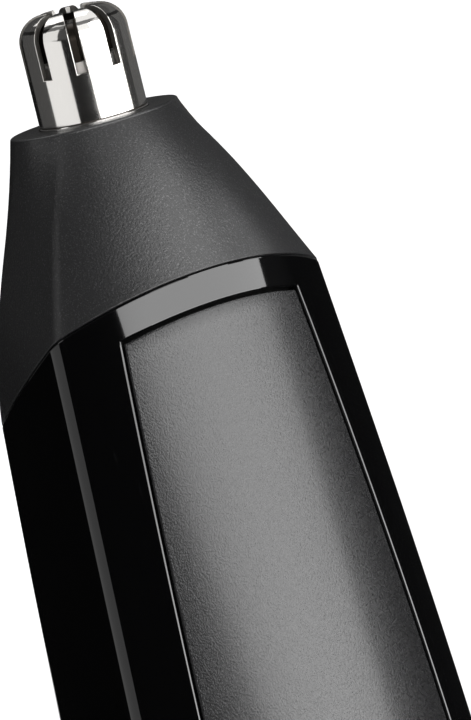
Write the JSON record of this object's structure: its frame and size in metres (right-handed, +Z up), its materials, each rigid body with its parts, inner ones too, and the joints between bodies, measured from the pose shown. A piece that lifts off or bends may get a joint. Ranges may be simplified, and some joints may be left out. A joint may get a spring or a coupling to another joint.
{
  "type": "nose hair trimmer",
  "caption": "Battery nose hair trimmer with a lens-shaped handle, inset grip panel, slide switch, slanted pull-off head and a slotted rotary cutter guard on the drive axis.",
  "frame": {"origin": "where the drive axis meets the plane of the flat foot", "axes": "+Z up along the drive axis from the foot to the cutter, -Y to the front with the grip panel and switch, +X to the right of someone who looks at the back"},
  "size_m": [0.0316, 0.029, 0.1376],
  "materials": {
    "soft_touch": "soft-touch coat with a fine speckle",
    "gloss_black": "deep gloss",
    "grip_grain": "fine leather-like stipple",
    "button_black": "satin",
    "polished_steel": "polished",
    "cutter_steel": "ground bright",
    "hub_plastic": "satin",
    "white_plastic": "satin",
    "chassis_plastic": "matte",
    "spring_steel": "drawn wire",
    "motor_metal": "zinc-plated can, satin",
    "contact_brass": "bright strip",
    "board_green": "coated board",
    "seal_rubber": "matte",
    "cell_jacket": "plain sleeve, satin"
  },
  "bodies": {
    "handle": {"housing": "gloss_black", "grip_panel": "grip_grain", "chassis": "chassis_plastic", "chassis_screws": "spring_steel", "neck_seal": "seal_rubber", "motor_can": "motor_metal", "motor_end_bell": "white_plastic", "motor_terminals": "contact_brass", "switch_board": "board_green", "switch_contacts": "contact_brass", "battery_cell": "cell_jacket", "positive_contact": "contact_brass", "negative_strip": "contact_brass", "motor_strip": "contact_brass"},
    "rotor": {"motor_shaft": "spring_steel", "drive_dog": "white_plastic", "cutter_spring": "spring_steel"},
    "head": {"head_cap": "soft_touch", "cutter_guard": "polished_steel", "guard_retainer": "hub_plastic"},
    "cutter": {"inner_cutter": "cutter_steel", "cutter_hub": "hub_plastic"},
    "switch": {"switch_button": "button_black", "switch_carrier": "white_plastic", "switch_wiper": "contact_brass"},
    "battery_cover": {"battery_cap": "gloss_black", "cap_seal": "seal_rubber", "cap_contact": "contact_brass", "cap_spring": "spring_steel"}
  },
  "joints": [
    {"name": "motor_spin", "type": "hinge", "parent": "handle", "child": "rotor", "pos_m": [0, 0, 0.09], "axis": [0, 0, 1], "continuous": true},
    {"name": "head_pull", "type": "slide", "parent": "handle", "child": "head", "axis": [0, 0, 1], "range_m": [0, 0.025]},
    {"name": "cutter_spin", "type": "hinge", "parent": "head", "child": "cutter", "pos_m": [0, 0, 0.125], "axis": [0, 0, 1], "continuous": true},
    {"name": "switch_slide", "type": "slide", "parent": "handle", "child": "switch", "axis": [0, 0, 1], "range_m": [0, 0.004]},
    {"name": "cap_pull", "type": "slide", "parent": "handle", "child": "battery_cover", "axis": [0, 0, -1], "range_m": [0, 0.02]}
  ],
  "couplings": [
    {"joint": "cutter_spin", "follows": "motor_spin", "ratio": 1}
  ]
}
